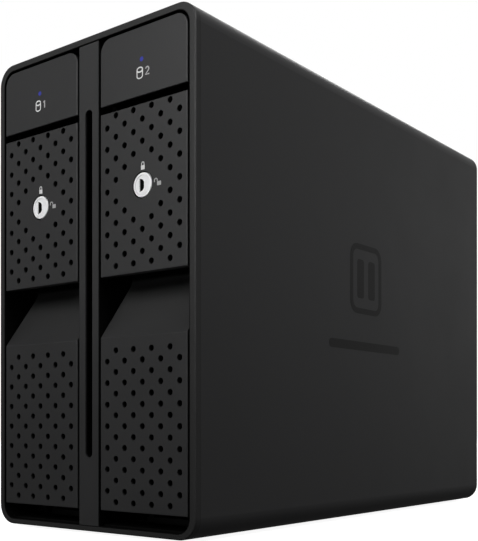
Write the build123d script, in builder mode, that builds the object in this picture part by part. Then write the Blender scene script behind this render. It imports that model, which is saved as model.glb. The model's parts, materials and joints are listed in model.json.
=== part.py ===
from build123d import *

import os
from math import cos, hypot, radians, sin, tan

# Two-bay desktop enclosure for 3.5-inch drives, in millimetres.
# The front faces -Y, +X is on the right seen from the front, and +Z is up.
# The origin is on the floor, under the middle of the body.

# ---------------------------------------------------------------- driving dimensions

# Body
WIDTH = 94.0
DEPTH = 208.0
HEIGHT = 165.3
CORNER = 7.0
FOOT_HEIGHT = 1.0
FOOT_RADIUS = 5.0
FOOT_X = 30.0
FOOT_Y = 88.0
FOOT_EDGE = 0.3

# Sleeve and the two bezels that close its ends
SLEEVE_WALL = 1.5
SEAM = 0.06
BEZEL_DEPTH = 2.2
BEZEL_EDGE = 0.45
COLLAR_DEPTH = 11.8
COLLAR_GAP = 0.1
COLLAR_WALL = 1.0
SHELF_SETBACK = 6.0
SHELF = 2.0
SHELF_DROP = 0.8
SHELF_GAP = 0.4
BOSS_WIDE = 9.0
BOSS_TALL = 11.0
BOSS_DEEP = 8.0
OPENING_HALF = 44.4
OPENING_LOW = 2.0
OPENING_HIGH = 162.97
OPENING_CORNER = 5.0

# Front: centre column, indicator panels, doors
COLUMN_HALF = 4.83
COLUMN_DEPTH = 10.0
COLUMN_DEEP = 17.0
COLUMN_WALL = 1.3
COLUMN_FACE = 2.1
COLUMN_LOW = 2.02
COLUMN_HIGH = 162.6
WEB_LOW = 2.7
WEB_HIGH = 162.3
COLUMN_SLOT = 3.33
SLOT_LOW = 24.6
SLOT_HIGH = 140.7
BAY_X = 24.65
DOOR_WIDTH = 38.0
DOOR_DEPTH = 18.0
DOOR_LOW = 7.35
DOOR_HIGH = 137.65
DOOR_WALL = 1.6
DOOR_SKIN = 2.0
DOOR_BOSS_X = 12.0
DOOR_BOSS_HALF = (3.0, 4.0)
DOOR_BOSS_DEEP = 8.0
DOOR_BOSS_FROM_EDGE = 9.15
DOOR_PILOT = 1.25
DOOR_PILOT_DEEP = 6.0
PLATE = 2.2
PANEL_LOW = 140.07
PANEL_HIGH = 162.1
PANEL_CORNER = 4.5
PANEL_THICKNESS = 2.0
PANEL_POST_X = 15.0
PANEL_POST_RISE = 3.0
PANEL_POST_RADIUS = 1.5
EDGE = 0.3

# Finger scoop in each door: a straight ramp, then a pocket behind the upper plate
SCOOP_LOW = 64.0
SCOOP_HIGH = 84.0
RAMP_RUN = 13.5
RAMP_RISE = 18.0
SCOOP_DEPTH = 15.0
SCOOP_ROOF = 96.0
SCOOP_ROUND = 4.0

# Perforation of the door plates
HOLE_RADIUS = 1.05
HOLE_COLUMN = 3.96
HOLE_ROWS = 15
UPPER_FIRST_ROW = 136.2
UPPER_ROW_PITCH = 3.5
LOWER_FIRST_ROW = 59.8
LOWER_ROW_PITCH = 3.53
HOLE_FREE_RADIUS = 9.0

# Cam lock of each door
LOCK_HEIGHT = 111.7
LOCK_RADIUS = 3.95
LOCK_FIT = 0.05
LOCK_RECESS_RADIUS = 4.35
LOCK_EDGE = 0.25
LOCK_BARREL = 13.0
LOCK_RECESS = 1.5
LOCK_BOSS_RADIUS = 6.5
LOCK_BOSS = 7.0
LOCK_NUT_RADIUS = 6.2
LOCK_NUT = 2.2
PLUG_RADIUS = 3.1
PLUG_CLEARANCE = 0.07
PLUG_SETBACK = 0.1
PLUG_TAIL = 0.8
PLUG_EDGE = 0.15
PLUG_PILOT = 1.3
PLUG_PILOT_DEEP = 4.0
KEYHOLE_WIDE = (-1.18, 0.18)
KEYHOLE_HALF = (2.05, 1.35)
KEYHOLE_DEEP = 7.0
CAM_LENGTH = 13.0
CAM_WIDTH = 7.0
CAM_THICKNESS = 1.2
CAM_HOLE = 1.35

# Drive tray; the drive stands on its long edge, 26.1 x 147 x 101.6
TRAY_HALF = 16.5
TRAY_LOW = 9.5
TRAY_WALL = 2.0
TRAY_REAR = 64.0
DRIVE_SPACE = 102.6
DRIVE_REAR = 63.0
DRIVE_HOLE_RADIUS = 1.8
DRIVE_HOLES_Y = 44.45
DRIVE_HOLES_Z = 95.25
DRIVE_HOLES_FROM_REAR = 41.28
RUNNING_GAP = 0.4
TRAY_SHELF_HALF = 12.5
TRAY_SHELF_SETBACK = 4.0
TRAY_RIBS_Y = (-60, -10, 40)
TRAY_RIB_HALF = 1.0
TRAY_WINDOW = (10.0, 15.0, 1.5)
TRAY_WINDOW_PITCH = (14.0, 19.0)
TRAY_VENT = (18.0, 8.0)
TRAY_VENT_PITCH = (26.0, 22.0)
TRAY_SCREW_HOLE = 1.4

# Drive cage
CAGE_HALF = 44.9
CAGE_FRONT = -86.0
CAGE_REAR = 70.2
CAGE_LOW = 1.6
CAGE_HIGH = 143.4
CAGE_WALL = 1.0
CAGE_FLANGE = 10.4
CAGE_FLANGE_GAP = 0.05
CAGE_LOW_CORNER = 4.9
CAGE_HIGH_CORNER = 2.0
DIVIDER_HALF = 0.6
DIVIDER_VENT = (18.0, 6.0)
DIVIDER_VENT_PITCH = (30.0, 26.0)
DIVIDER_VENT_Y = -8.0

# Guides that the trays run in
GUIDE_FOOT = (30.0, 1.5)
GUIDE_FLOOR = 1.8
GUIDE_LEG_X = 13.0
GUIDE_LEG = 2.0
GUIDE_LIP = 0.9
GUIDE_LIP_TALL = 4.0
GUIDE_OVERRUN = 4.0

# Boards, and the holes for their screws and for the case screws
BOARD = 1.6
BOARD_CLEARANCE = 1.4
BOARD_PILOT = 1.25
CASE_PILOT = 1.45
CHIP = 1.2
BACKPLANE_Y = 70.4
MAIN_BOARD_HALF = 33.0
MAIN_BOARD_FRONT = -20.0
MAIN_BOARD_REAR = 97.0
MAIN_BOARD_LOW = 147.4
STANDOFF_X = 28.0
STANDOFF_Y = (-10.0, 60.0)
STANDOFF_RADIUS = 2.75
BACKPLANE_HALF = 43.5
BACKPLANE_LOW = 9.0
BACKPLANE_HIGH = 136.0
BACKPLANE_NECK = 18.0
BACKPLANE_WINDOW = (16.0, 17.0, 2.0)
BACKPLANE_WINDOW_X = 3.0
BACKPLANE_WINDOW_PITCH = 23.0
LINK_HALF = 16.0
LINK = (6.0, 6.5)
CHIP_HALF = 7.0
SINK_HALF = 10.0
SINK_Y = 20.0
SINK_PLATE = 2.0
SINK_FIN = (1.2, 6.0)
SINK_PITCH = 3.6

# Connector of each drive
SATA_X = 3.8
SATA_DROP = 20.7
SATA_LENGTH = 39.0
SATA_HALF = 2.5
SATA_SLOT_HALF = 1.2
SATA_SLOT_DEEP = 4.5
SATA_SLOTS = ((-18.0, 5.0), (8.0, 18.0))
SATA_GAP = 0.2

# Indicators and their board, and the ribbon from it to the main board
LED_X = -0.3
LED_HEIGHT = 151.7
LED_RADIUS = 0.75
LIGHT_PIPE_RADIUS = 1.5
LIGHT_PIPE_SLEEVE = 1.8
LED_BOARD_Y = -93.6
LED_BOARD_HALF = 34.0
LED_BOARD_LOW = 145.0
LED_BOARD_HIGH = 159.0
LED_POST_RADIUS = 2.5
LED_CHIP_HALF = (1.0, 0.6)
LED_CHIP = 0.8
LED_GAP = 0.2
LED_CABLE_X = 0.0
LED_CABLE_WIDTH = 8.0
LED_CABLE_THICKNESS = 0.5
LED_CABLE_SAG = 2.0
LED_CABLE_BEND = 5.0
CABLE_PLUG_THICK = 3.0
CABLE_PLUG_LONG = (4.0, 6.0)
CABLE_RISE = 1.5
CABLE_END = 9.0
LED_SCREW_X = 14.0
LED_SCREW_HEIGHT = 155.0

# Rear panel, its screws, and what shows through it
REAR_PANEL_Y = 99.0
REAR_PANEL = 1.2
REAR_SCREW_HOLE = 1.6
PANEL_SCREW_X = 40.2
PANEL_SCREW_HEIGHTS = (6.8, 158.2)
FAN_HEIGHT = 84.0
FAN_SIZE = 60.0
FAN_DEPTH = 20.0
FAN_BORE = 28.75
FAN_HOLE_SPACING = 50.0
FAN_BLADES = 7
FAN_CORNER = 4.0
FAN_HUB = 13.0
FAN_CUP = 11.5
FAN_TUBE = 4.0
FAN_COIL = 10.0
FAN_BEARING = 1.55
FAN_SHAFT = 1.5
FAN_SCREW_HOLE = 1.5
FAN_ARM = 3.0
FAN_MOTOR_PLATE = 2.5
BLADE_GAP = 0.65
BLADE_HALF = (6.5, 5.5)
BLADE_CAMBER = 1.3
BLADE_THICKNESS = 1.2
BLADE_MIDDLE = 8.5
FAN_CABLE_RADIUS = 0.9
FAN_CABLE_BEND = 2.8
FAN_CABLE_OUT = 6.0
FAN_CABLE_SETBACK = 16.0
FAN_CABLE_HEIGHT = 15.0
FAN_CABLE_RISE = 2.0
FAN_PLUG_X = (-32.0, -25.0)
FAN_PLUG_HALF = 3.0
FAN_PLUG_TALL = 5.0
GRILLE_HOLE = 1.8
GRILLE_PITCH = 4.5
GRILLE_RADIUS = 26.5
PROUD = 1.4

# Power inlet and USB port
DC_X = -28.0
DC_RISE = 5.3
DC_HOLE = 4.2
DC_COLLAR = 4.0
DC_BORE = 3.15
DC_PIN = 1.05
DC_BODY_HALF = 4.5
DC_BODY_TALL = 10.5
DC_FRONT = 86.0
DC_BORE_FRONT = 90.0
DC_STEP = 0.6
USB_X = -14.0
USB_RISE = 1.65
USB_HOLE = (9.6, 3.9, 1.9)
USB_SHELL = (8.94, 3.26, 1.62)
USB_INSIDE = (8.34, 2.66, 1.32)
USB_LONG = 7.6
USB_FRONT = 92.9
USB_BACK = 1.0
USB_TONGUE_HALF = (3.35, 0.35)
USB_TONGUE_END = 99.4

# Button, dial and power switch
BUTTON_X = -2.5
BUTTON_RISE = 3.0
BUTTON_HOLE = 2.4
BUTTON_RADIUS = 2.1
BUTTON_FLANGE = 2.9
BUTTON_STEM = 1.25
BUTTON_STEPS_Y = (95.2, 97.7, 98.7)
BUTTON_EDGE = 0.4
TACT_HALF = 3.0
TACT_Y = (90.5, 94.0)
DIAL_X = 9.0
DIAL_RISE = 4.8
DIAL_HOLE = 3.9
DIAL_RADIUS = 3.6
DIAL_STEM = 1.5
DIAL_SOCKET = 1.575
DIAL_STEPS_Y = (93.0, 97.3)
DIAL_SOCKET_Y = (92.5, 97.0)
DIAL_SLOT = (0.5, 2.0, 3.0)
DIAL_SLOT_DEEP = 1.0
DIAL_BODY_Y = (91.0, 97.0)
ROCKER_X = 26.0
ROCKER_HEIGHT = 152.6
ROCKER_RADIUS = 7.4
ROCKER_HALF = 4.0
ROCKER_TILT = 8.0
ROCKER_WING = 2.8
ROCKER_WING_ANGLE = 16.0
ROCKER_FOOT = 1.5
ROCKER_PIN = 1.0
ROCKER_PIN_HOLE = 1.07
ROCKER_GAP = 0.3
ROCKER_BODY_HALF = (8.7, 5.2)
ROCKER_FRAME_HALF = (9.3, 6.3)
ROCKER_FRAME = 1.6
ROCKER_FRAME_EDGE = 0.6
ROCKER_FRONT = 88.0
ROCKER_WELL = 94.0
ROCKER_HOLE = (17.6, 10.6)
ROCKER_NOTCH = 85.0

# Slot for a cable lock
LOCK_SLOT_X = 34.0
LOCK_SLOT_HEIGHT = 26.0
LOCK_SLOT = (3.0, 7.0, 0.6)

# ---------------------------------------------------------------- derived places

BASE = FOOT_HEIGHT
FRONT = -DEPTH / 2
REAR = DEPTH / 2
MID_HEIGHT = BASE + HEIGHT / 2
DOOR_MID = BASE + (DOOR_LOW + DOOR_HIGH) / 2
DOOR_BACK = FRONT + DOOR_DEPTH
LOCK_Z = BASE + LOCK_HEIGHT
FAN_Z = BASE + FAN_HEIGHT
BOARD_TOP = BASE + MAIN_BOARD_LOW + BOARD
PANEL_OUTER_Y = REAR_PANEL_Y + REAR_PANEL
BAYS = {"left": -BAY_X, "right": BAY_X}


# ---------------------------------------------------------------- small helpers


def upright(y, x=0.0):
    """Vertical sketch plane at depth y: sketch x is +X, sketch y is +Z, normal -Y."""
    return Plane(origin=(x, y, 0), x_dir=(1, 0, 0), z_dir=(0, -1, 0))


def side_on(x):
    """Vertical sketch plane at x: sketch x is +Y, sketch y is +Z, normal +X."""
    return Plane(origin=(x, 0, 0), x_dir=(0, 1, 0), z_dir=(1, 0, 0))


def block(x, y, z, mode=Mode.ADD):
    """Box between the (low, high) pairs x, y and z, in the part being built."""
    with Locations(((x[0] + x[1]) / 2, (y[0] + y[1]) / 2, (z[0] + z[1]) / 2)):
        Box(x[1] - x[0], y[1] - y[0], z[1] - z[0], mode=mode)


def rod(x, z, radius, y, mode=Mode.ADD):
    """Cylinder along Y at (x, z) between the (low, high) pair y."""
    with Locations(Location((x, (y[0] + y[1]) / 2, z), (90, 0, 0))):
        Cylinder(radius, y[1] - y[0], mode=mode)


def pillar(x, y, radius, z, mode=Mode.ADD):
    """Cylinder along Z at (x, y) between the (low, high) pair z."""
    with Locations((x, y, (z[0] + z[1]) / 2)):
        Cylinder(radius, z[1] - z[0], mode=mode)


def body_outline(inset):
    """Rounded outline of the body, moved inwards by inset, in an upright sketch."""
    with Locations((0, MID_HEIGHT)):
        RectangleRounded(WIDTH - 2 * inset, HEIGHT - 2 * inset, CORNER - inset)


def pan_screw(head_radius, head_height, shank_radius, length):
    """Pan head screw with a cross recess, its head above the XY plane."""
    recess_half = 0.6 * head_radius
    recess_thin = 0.13 * head_radius
    recess = (0.4 * head_height, head_height)
    with BuildPart() as screw:
        pillar(0, 0, shank_radius, (-length, 0))
        pillar(0, 0, head_radius, (0, head_height))
        fillet(faces().sort_by(Axis.Z)[-1].edges(), 0.5 * head_height)
        for across, along in ((recess_half, recess_thin), (recess_thin, recess_half)):
            block((-across, across), (-along, along), recess, Mode.SUBTRACT)
    return screw.part


def facing_rear(places, y):
    """Locations at the (x, z) places, at depth y, whose own +Z points to the rear."""
    return [Location((x, y, z), (-90, 0, 0)) for x, z in places]


def finish(part, name):
    """Label a finished part and write it as one STEP file."""
    part.part.label = name
    export_step(part.part, f"parts/{name}.step")


os.makedirs("parts", exist_ok=True)

case_screw = pan_screw(2.8, 1.9, 1.4, 8.2)
board_screw = pan_screw(2.3, 1.6, 1.2, 5.0)
door_screw = pan_screw(2.2, 1.6, 1.2, 7.0)
cam_screw = pan_screw(2.4, 1.5, 1.2, 4.7)

# ---------------------------------------------------------------- sleeve and bezels

with BuildPart() as housing_sleeve:
    sleeve_front = FRONT + BEZEL_DEPTH + SEAM
    with BuildSketch(upright(sleeve_front)):
        body_outline(0)
        with Locations((0, MID_HEIGHT)):
            RectangleRounded(
                WIDTH - 2 * SLEEVE_WALL,
                HEIGHT - 2 * SLEEVE_WALL,
                CORNER - SLEEVE_WALL,
                mode=Mode.SUBTRACT,
            )
    extrude(amount=2 * sleeve_front)
finish(housing_sleeve, "housing_sleeve")


def bezel_ring(face_y, inward):
    """Rim flush with the sleeve and the collar behind it; inward is +1 or -1 along Y."""
    collar_y = face_y + inward * BEZEL_DEPTH
    with BuildSketch(upright(face_y)) as rim:
        body_outline(0)
    extrude(rim.sketch, amount=-inward * BEZEL_DEPTH)
    fillet(faces().sort_by(Axis.Y)[0 if inward > 0 else -1].edges(), BEZEL_EDGE)
    with BuildSketch(upright(collar_y)) as collar:
        body_outline(SLEEVE_WALL + COLLAR_GAP)
    extrude(collar.sketch, amount=-inward * COLLAR_DEPTH)
    with BuildSketch(upright(collar_y)) as bore:
        body_outline(SLEEVE_WALL + COLLAR_GAP + COLLAR_WALL)
    extrude(bore.sketch, amount=-inward * COLLAR_DEPTH, mode=Mode.SUBTRACT)
    with BuildSketch(upright(face_y)) as opening:
        with Locations((0, BASE + (OPENING_LOW + OPENING_HIGH) / 2)):
            RectangleRounded(2 * OPENING_HALF, OPENING_HIGH - OPENING_LOW, OPENING_CORNER)
    extrude(opening.sketch, amount=-inward * BEZEL_DEPTH, mode=Mode.SUBTRACT)


shelf_front = FRONT + SHELF_SETBACK
shelf_back = shelf_front + SHELF
shelf_low = PANEL_LOW - SHELF_DROP
collar_inset = SLEEVE_WALL + COLLAR_GAP + COLLAR_WALL / 2

with BuildPart() as front_bezel:
    bezel_ring(FRONT, 1)
    for bay_x in BAYS.values():
        side = 1 if bay_x > 0 else -1
        shelf_ends = sorted((side * (COLUMN_HALF + SHELF_GAP), side * (WIDTH / 2 - collar_inset)))
        block(
            shelf_ends,
            (shelf_front, shelf_back),
            (BASE + shelf_low, BASE + PANEL_HIGH - PANEL_CORNER),
        )
        block(
            sorted((side * (COLUMN_HALF + SHELF_GAP), side * (WIDTH / 2 - CORNER))),
            (shelf_front, shelf_back),
            (BASE + PANEL_HIGH - PANEL_CORNER, BASE + HEIGHT - collar_inset),
        )
        rod(
            bay_x + LED_X,
            BASE + LED_HEIGHT,
            LIGHT_PIPE_SLEEVE,
            (shelf_front, shelf_back),
            Mode.SUBTRACT,
        )
        screw_x = side * LED_SCREW_X
        screw_z = BASE + LED_SCREW_HEIGHT
        rod(screw_x, screw_z, LED_POST_RADIUS, (shelf_back, LED_BOARD_Y))
        rod(screw_x, screw_z, BOARD_PILOT, (shelf_front, LED_BOARD_Y), Mode.SUBTRACT)
finish(front_bezel, "front_bezel")

panel_holes = [
    (x, BASE + height) for x in (-PANEL_SCREW_X, PANEL_SCREW_X) for height in PANEL_SCREW_HEIGHTS
]

with BuildPart() as rear_bezel:
    bezel_ring(REAR, -1)
    with BuildSketch(upright(REAR_PANEL_Y)):
        body_outline(collar_inset)
        with Locations((0, MID_HEIGHT)):
            Rectangle(2 * OPENING_HALF, HEIGHT - 2 * BOSS_TALL, mode=Mode.SUBTRACT)
            Rectangle(2 * (OPENING_HALF - BOSS_WIDE), HEIGHT, mode=Mode.SUBTRACT)
        with Locations(panel_holes):
            Circle(CASE_PILOT, mode=Mode.SUBTRACT)
    extrude(amount=BOSS_DEEP)
finish(rear_bezel, "rear_bezel")

# ---------------------------------------------------------------- centre column

with BuildPart() as center_column:
    block(
        (-COLUMN_HALF, COLUMN_HALF),
        (FRONT, FRONT + COLUMN_FACE),
        (BASE + COLUMN_LOW, BASE + COLUMN_HIGH),
    )
    fillet(faces().sort_by(Axis.Y)[0].edges().filter_by(Axis.Z), EDGE)
    web_front = FRONT + COLUMN_FACE
    web_low = BASE + WEB_LOW
    for side in (-1, 1):
        web = sorted((side * COLUMN_HALF, side * (COLUMN_HALF - COLUMN_WALL)))
        block(web, (web_front, FRONT + COLUMN_DEPTH), (web_low, BASE + WEB_HIGH))
        block(web, (web_front, FRONT + COLUMN_DEEP), (web_low, BASE + shelf_low - SHELF_DROP))
    with BuildSketch(upright(FRONT)):
        with Locations((0, BASE + (SLOT_LOW + SLOT_HIGH) / 2)):
            SlotOverall(SLOT_HIGH - SLOT_LOW, COLUMN_SLOT, rotation=90)
    extrude(amount=-BEZEL_DEPTH, mode=Mode.SUBTRACT)
finish(center_column, "center_column")

# ---------------------------------------------------------------- indicator panels

for name, bay_x in BAYS.items():
    with BuildPart() as led_panel:
        with BuildSketch(upright(FRONT)) as panel_face:
            with Locations((bay_x, BASE + (PANEL_LOW + PANEL_HIGH) / 2)):
                Rectangle(DOOR_WIDTH, PANEL_HIGH - PANEL_LOW)
            fillet(panel_face.vertices().group_by(Axis.Y)[-1], PANEL_CORNER)
        extrude(amount=-PANEL_THICKNESS)
        fillet(faces().sort_by(Axis.Y)[0].edges(), EDGE)
        for post_x in (bay_x - PANEL_POST_X, bay_x + PANEL_POST_X):
            rod(
                post_x,
                BASE + PANEL_LOW + PANEL_POST_RISE,
                PANEL_POST_RADIUS,
                (FRONT + PANEL_THICKNESS, shelf_front),
            )
        rod(bay_x + LED_X, BASE + LED_HEIGHT, LED_RADIUS, (FRONT, shelf_front), Mode.SUBTRACT)
    finish(led_panel, f"led_panel_{name}")

with BuildPart() as light_pipes:
    for bay_x in BAYS.values():
        rod(bay_x + LED_X, BASE + LED_HEIGHT, LED_RADIUS, (FRONT, FRONT + PANEL_THICKNESS))
        rod(
            bay_x + LED_X,
            BASE + LED_HEIGHT,
            LIGHT_PIPE_RADIUS,
            (FRONT + PANEL_THICKNESS, LED_BOARD_Y - LED_CHIP - LED_GAP),
        )
finish(light_pipes, "light_pipes")

led_board_run = (LED_BOARD_Y, LED_BOARD_Y + BOARD)
led_screw_places = [(x, BASE + LED_SCREW_HEIGHT) for x in (-LED_SCREW_X, LED_SCREW_X)]

with BuildPart() as led_board:
    block(
        (-LED_BOARD_HALF, LED_BOARD_HALF),
        led_board_run,
        (BASE + LED_BOARD_LOW, BASE + LED_BOARD_HIGH),
    )
    for x, z in led_screw_places:
        rod(x, z, BOARD_CLEARANCE, led_board_run, Mode.SUBTRACT)
finish(led_board, "led_board")

with BuildPart() as status_leds:
    for bay_x in BAYS.values():
        chip_x = bay_x + LED_X
        chip_z = BASE + LED_HEIGHT
        block(
            (chip_x - LED_CHIP_HALF[0], chip_x + LED_CHIP_HALF[0]),
            (LED_BOARD_Y - LED_CHIP, LED_BOARD_Y),
            (chip_z - LED_CHIP_HALF[1], chip_z + LED_CHIP_HALF[1]),
        )
finish(status_leds, "status_leds")

# ---------------------------------------------------------------- drive cage


def cage_tube():
    """Sheet-metal tube around both bays, cut into its four sheets by the caller."""
    with BuildSketch(upright(CAGE_FRONT)) as tube:
        with Locations((0, BASE + (CAGE_LOW + CAGE_HIGH) / 2)):
            Rectangle(2 * CAGE_HALF, CAGE_HIGH - CAGE_LOW)
        fillet(tube.vertices().group_by(Axis.Y)[0], CAGE_LOW_CORNER)
        fillet(tube.vertices().group_by(Axis.Y)[-1], CAGE_HIGH_CORNER)
        offset(amount=-CAGE_WALL, mode=Mode.SUBTRACT)
    extrude(tube.sketch, amount=CAGE_FRONT - CAGE_REAR)


cage_run = (CAGE_FRONT, CAGE_REAR)
floor_edge = BASE + CAGE_LOW + CAGE_FLANGE
roof_edge = BASE + CAGE_HIGH - CAGE_FLANGE

with BuildPart() as cage_floor:
    cage_tube()
    block((-WIDTH / 2, WIDTH / 2), cage_run, (BASE, floor_edge), Mode.INTERSECT)
finish(cage_floor, "cage_floor")

with BuildPart() as cage_roof:
    cage_tube()
    block((-WIDTH / 2, WIDTH / 2), cage_run, (roof_edge, BASE + HEIGHT), Mode.INTERSECT)
finish(cage_roof, "cage_roof")

for name, side in (("left", -1), ("right", 1)):
    with BuildPart() as cage_side:
        cage_tube()
        block(
            sorted((0, side * WIDTH / 2)),
            cage_run,
            (floor_edge + CAGE_FLANGE_GAP, roof_edge - CAGE_FLANGE_GAP),
            Mode.INTERSECT,
        )
    finish(cage_side, f"cage_side_{name}")

cage_inside = (BASE + CAGE_LOW + CAGE_WALL, BASE + CAGE_HIGH - CAGE_WALL)

with BuildPart() as cage_divider:
    block((-DIVIDER_HALF, DIVIDER_HALF), cage_run, cage_inside)
    with BuildSketch(side_on(-DIVIDER_HALF)):
        with Locations((DIVIDER_VENT_Y, DOOR_MID)):
            with GridLocations(*DIVIDER_VENT_PITCH, 5, 4):
                SlotOverall(*DIVIDER_VENT)
    extrude(amount=2 * DIVIDER_HALF, mode=Mode.SUBTRACT)
finish(cage_divider, "cage_divider")

# The guides are drawn as distances from the bays' mid height, so one outline serves
# the lower guides (measured downwards) and the upper ones (measured upwards).
cage_face = DOOR_MID - cage_inside[0]
tray_edge = DOOR_MID - BASE - TRAY_LOW
guide_half = TRAY_HALF + RUNNING_GAP + GUIDE_LIP
guide_floor = tray_edge + RUNNING_GAP

for level, down in (("lower", 1), ("upper", -1)):
    for name, bay_x in BAYS.items():
        with BuildPart() as guide_rail:
            start = Plane(origin=(bay_x, CAGE_FRONT, DOOR_MID), x_dir=(1, 0, 0), z_dir=(0, down, 0))
            with BuildSketch(start):
                with Locations((0, cage_face - GUIDE_FOOT[1] / 2)):
                    Rectangle(*GUIDE_FOOT)
                with Locations((0, guide_floor + GUIDE_FLOOR / 2)):
                    Rectangle(2 * guide_half, GUIDE_FLOOR)
                for side in (-1, 1):
                    with Locations((side * GUIDE_LEG_X, (cage_face + guide_floor) / 2)):
                        Rectangle(GUIDE_LEG, cage_face - guide_floor)
                    lip_at = (
                        side * (guide_half - GUIDE_LIP / 2),
                        guide_floor + 1.0 - GUIDE_LIP_TALL / 2,
                    )
                    with Locations(lip_at):
                        Rectangle(GUIDE_LIP, GUIDE_LIP_TALL)
            extrude(amount=down * (TRAY_REAR + GUIDE_OVERRUN - CAGE_FRONT))
        finish(guide_rail, f"guide_rail_{level}_{name}")

# ---------------------------------------------------------------- tray doors and trays

scoop_corner = (FRONT + RAMP_RUN, BASE + SCOOP_LOW + RAMP_RISE)
scoop_wall_y = FRONT + SCOOP_DEPTH
ramp_length = hypot(RAMP_RUN, RAMP_RISE)
# The bend between the ramp and the upright back of the scoop is tangent to both.
bend_radius = (SCOOP_DEPTH - RAMP_RUN) / (1 - RAMP_RISE / ramp_length)
bend_end = (scoop_wall_y, scoop_corner[1] + bend_radius * RAMP_RUN / ramp_length)
ramp_direction = (RAMP_RUN, RAMP_RISE)


def door_outline():
    """Side outline of a door with its finger scoop."""
    with BuildLine() as outline:
        Line((FRONT, BASE + DOOR_LOW), (FRONT, BASE + SCOOP_LOW))
        Line((FRONT, BASE + SCOOP_LOW), scoop_corner)
        TangentArc(scoop_corner, bend_end, tangent=ramp_direction)
        Line(bend_end, (scoop_wall_y, BASE + SCOOP_ROOF - SCOOP_ROUND))
        TangentArc(
            (scoop_wall_y, BASE + SCOOP_ROOF - SCOOP_ROUND),
            (scoop_wall_y - SCOOP_ROUND, BASE + SCOOP_ROOF),
            tangent=(0, 1),
        )
        Polyline(
            (scoop_wall_y - SCOOP_ROUND, BASE + SCOOP_ROOF),
            (FRONT + PLATE, BASE + SCOOP_ROOF),
            (FRONT + PLATE, BASE + SCOOP_HIGH),
            (FRONT, BASE + SCOOP_HIGH),
            (FRONT, BASE + DOOR_HIGH),
            (DOOR_BACK, BASE + DOOR_HIGH),
            (DOOR_BACK, BASE + DOOR_LOW),
            (FRONT, BASE + DOOR_LOW),
        )
    make_face(outline.edges())


def door_pockets():
    """Side outline of the two pockets open at the door's back."""
    ramp_slope = RAMP_RISE / RAMP_RUN
    skin_drop = DOOR_SKIN * ramp_length / RAMP_RUN
    ramp_foot = BASE + SCOOP_LOW - skin_drop
    with BuildLine() as lower_pocket:
        Polyline(
            (FRONT + PLATE, BASE + DOOR_LOW + DOOR_SKIN),
            (FRONT + PLATE, ramp_foot + PLATE * ramp_slope),
            (DOOR_BACK, ramp_foot + DOOR_DEPTH * ramp_slope),
            (DOOR_BACK, BASE + DOOR_LOW + DOOR_SKIN),
            close=True,
        )
    make_face(lower_pocket.edges())
    with Locations(((FRONT + PLATE + DOOR_BACK) / 2, BASE + (SCOOP_ROOF + DOOR_HIGH) / 2)):
        Rectangle(DOOR_DEPTH - PLATE, DOOR_HIGH - SCOOP_ROOF - 2 * DOOR_SKIN)


def hole_places(bay_x):
    """Centres of the perforation: staggered rows, none close to the lock."""
    rows = []
    for row in range(HOLE_ROWS):
        columns = (-4, -2, 0, 2, 4) if row % 2 else (-3, -1, 1, 3)
        heights = (
            UPPER_FIRST_ROW - UPPER_ROW_PITCH * row,
            LOWER_FIRST_ROW - LOWER_ROW_PITCH * row,
        )
        rows += [(k * HOLE_COLUMN, height) for k in columns for height in heights]
    return [
        (bay_x + x, BASE + height)
        for x, height in rows
        if hypot(x, height - LOCK_HEIGHT) > HOLE_FREE_RADIUS
    ]


boss_heights = (DOOR_LOW + DOOR_BOSS_FROM_EDGE, DOOR_HIGH - DOOR_BOSS_FROM_EDGE)
tray_top = 2 * DOOR_MID - BASE - TRAY_LOW
tray_bottom = BASE + TRAY_LOW
web_outer = -TRAY_HALF
web_inner = web_outer + TRAY_WALL
shelf_gap = DRIVE_SPACE / 2
tray_front = DOOR_BACK + TRAY_WALL
drive_hole_y = DRIVE_REAR - DRIVE_HOLES_FROM_REAR - DRIVE_HOLES_Y / 2


def tray_door(bay_x):
    """Moulded front of a tray: scoop, perforated plates, lock boss, screw bosses."""
    inner_half = DOOR_WIDTH / 2 - DOOR_WALL
    with BuildPart() as door:
        with BuildSketch(side_on(bay_x)):
            door_outline()
        extrude(amount=DOOR_WIDTH / 2, both=True)
        front_faces = faces().filter_by(Plane.XZ).group_by(Axis.Y)[0]
        fillet(front_faces.edges(), EDGE)
        with BuildSketch(side_on(bay_x)):
            door_pockets()
        extrude(amount=inner_half, both=True, mode=Mode.SUBTRACT)
        with BuildSketch(upright(FRONT)):
            with Locations(hole_places(bay_x)):
                Circle(HOLE_RADIUS)
        extrude(amount=-PLATE, mode=Mode.SUBTRACT)
        boss_end = FRONT + LOCK_BOSS
        rod(bay_x, LOCK_Z, LOCK_BOSS_RADIUS, (FRONT + PLATE, boss_end))
        rod(bay_x, LOCK_Z, LOCK_RADIUS + LOCK_FIT, (FRONT, boss_end), Mode.SUBTRACT)
        rod(bay_x, LOCK_Z, LOCK_RECESS_RADIUS, (FRONT, FRONT + LOCK_RECESS), Mode.SUBTRACT)
        for side in (-1, 1):
            for height in boss_heights:
                boss_ends = (DOOR_BOSS_X - DOOR_BOSS_HALF[0], inner_half + DOOR_WALL / 4)
                block(
                    sorted(bay_x + side * end for end in boss_ends),
                    (DOOR_BACK - DOOR_BOSS_DEEP, DOOR_BACK),
                    (BASE + height - DOOR_BOSS_HALF[1], BASE + height + DOOR_BOSS_HALF[1]),
                )
                rod(
                    bay_x + side * DOOR_BOSS_X,
                    BASE + height,
                    DOOR_PILOT,
                    (DOOR_BACK - DOOR_PILOT_DEEP, DOOR_BACK),
                    Mode.SUBTRACT,
                )
    return door


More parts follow.
